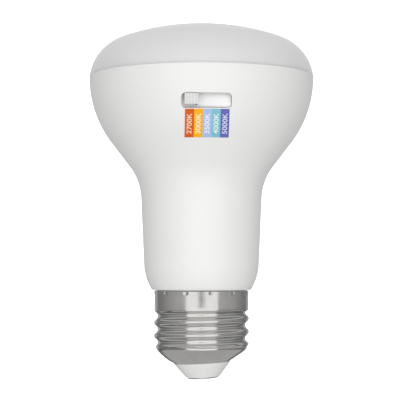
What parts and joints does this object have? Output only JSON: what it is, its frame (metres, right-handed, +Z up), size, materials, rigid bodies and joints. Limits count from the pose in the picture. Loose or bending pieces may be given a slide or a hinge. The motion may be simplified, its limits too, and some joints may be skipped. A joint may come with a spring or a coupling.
{
  "type": "reflector LED light bulb",
  "caption": "Reflector-shaped LED bulb with a screw base, a flared white housing, a frosted lens and a sliding colour selector with a striped scale.",
  "frame": {"origin": "lowest point of the centre contact, on the bulb's axis", "axes": "+Z up the axis from the centre contact to the lens, -Y out through the colour selector, +X along the selector's travel"},
  "size_m": [0.0622, 0.0622, 0.0981],
  "materials": {
    "frosted_lens": "frosted polycarbonate, light grey when unlit",
    "silicone": "cured white silicone",
    "white_housing": "satin white PBT",
    "aluminium": "drawn sheet",
    "thermal_pad": "soft grey-blue pad",
    "white_solder_mask": "aluminium-core board under a white mask",
    "led_package": "white moulded package",
    "warm_phosphor": "orange phosphor in silicone",
    "cool_phosphor": "yellow phosphor in silicone",
    "plated_steel": "zinc-plated",
    "connector_plastic": "natural nylon",
    "green_board": "glass-fibre board under a green mask",
    "black_plastic": "moulded black",
    "brass": "bare contact brass",
    "resistor_coat": "flameproof lacquer",
    "blue_epoxy": "dipped epoxy",
    "red_epoxy": "dipped epoxy",
    "capacitor_sleeve": "shrunk sleeve",
    "ferrite": "ground ferrite",
    "copper": "enamelled wire",
    "tinned_wire": "tinned",
    "chip_ceramic": "glazed black top",
    "chip_capacitor_body": "fired tan",
    "red_insulation": "extruded insulation",
    "white_insulation": "extruded insulation",
    "phenolic": "pressed laminate",
    "knob_plastic": "moulded light grey-white",
    "bright_white_plastic": "moulded bright white",
    "printed_scale": "printed film with five coloured strips",
    "nickel_plate": "rolled and nickel-plated",
    "insulator": "pale moulded insulator",
    "solder_tinned_brass": "plated contact"
  },
  "bodies": {
    "lamp": {"lens_dome": "frosted_lens", "lens_adhesive": "silicone", "housing": "white_housing", "heat_sink": "aluminium", "thermal_pad": "thermal_pad", "led_board": "white_solder_mask", "warm_leds": "led_package", "warm_phosphor": "warm_phosphor", "cool_leds": "led_package", "cool_phosphor": "cool_phosphor", "board_screws": "plated_steel", "board_socket": "connector_plastic", "driver_board": "green_board", "header_strip": "black_plastic", "header_pins": "brass", "fusible_resistor": "resistor_coat", "varistor": "blue_epoxy", "film_capacitor": "red_epoxy", "bulk_capacitor": "capacitor_sleeve", "output_capacitor": "capacitor_sleeve", "choke_core": "ferrite", "choke_winding": "copper", "component_leads": "tinned_wire", "bridge_rectifier": "black_plastic", "driver_chip": "black_plastic", "freewheel_diode": "black_plastic", "channel_transistors": "black_plastic", "chip_resistors": "chip_ceramic", "chip_capacitors": "chip_capacitor_body", "live_wire": "red_insulation", "neutral_wire": "tinned_wire", "switch_wires": "white_insulation", "switch_board": "green_board", "switch_screws": "plated_steel", "switch_base": "phenolic", "switch_terminals": "tinned_wire", "switch_cover": "plated_steel", "switch_bezel": "bright_white_plastic", "scale_label": "printed_scale", "screw_shell": "nickel_plate", "base_insulator": "insulator", "centre_contact": "solder_tinned_brass", "contact_nail": "plated_steel"},
    "selector": {"switch_slider": "black_plastic", "wiper_contact": "brass", "detent_ball": "plated_steel", "detent_spring": "plated_steel", "selector_knob": "knob_plastic"}
  },
  "joints": [
    {"name": "selector_slide", "type": "slide", "parent": "lamp", "child": "selector", "axis": [1, 0, 0], "range_m": [0, 0.008]}
  ]
}
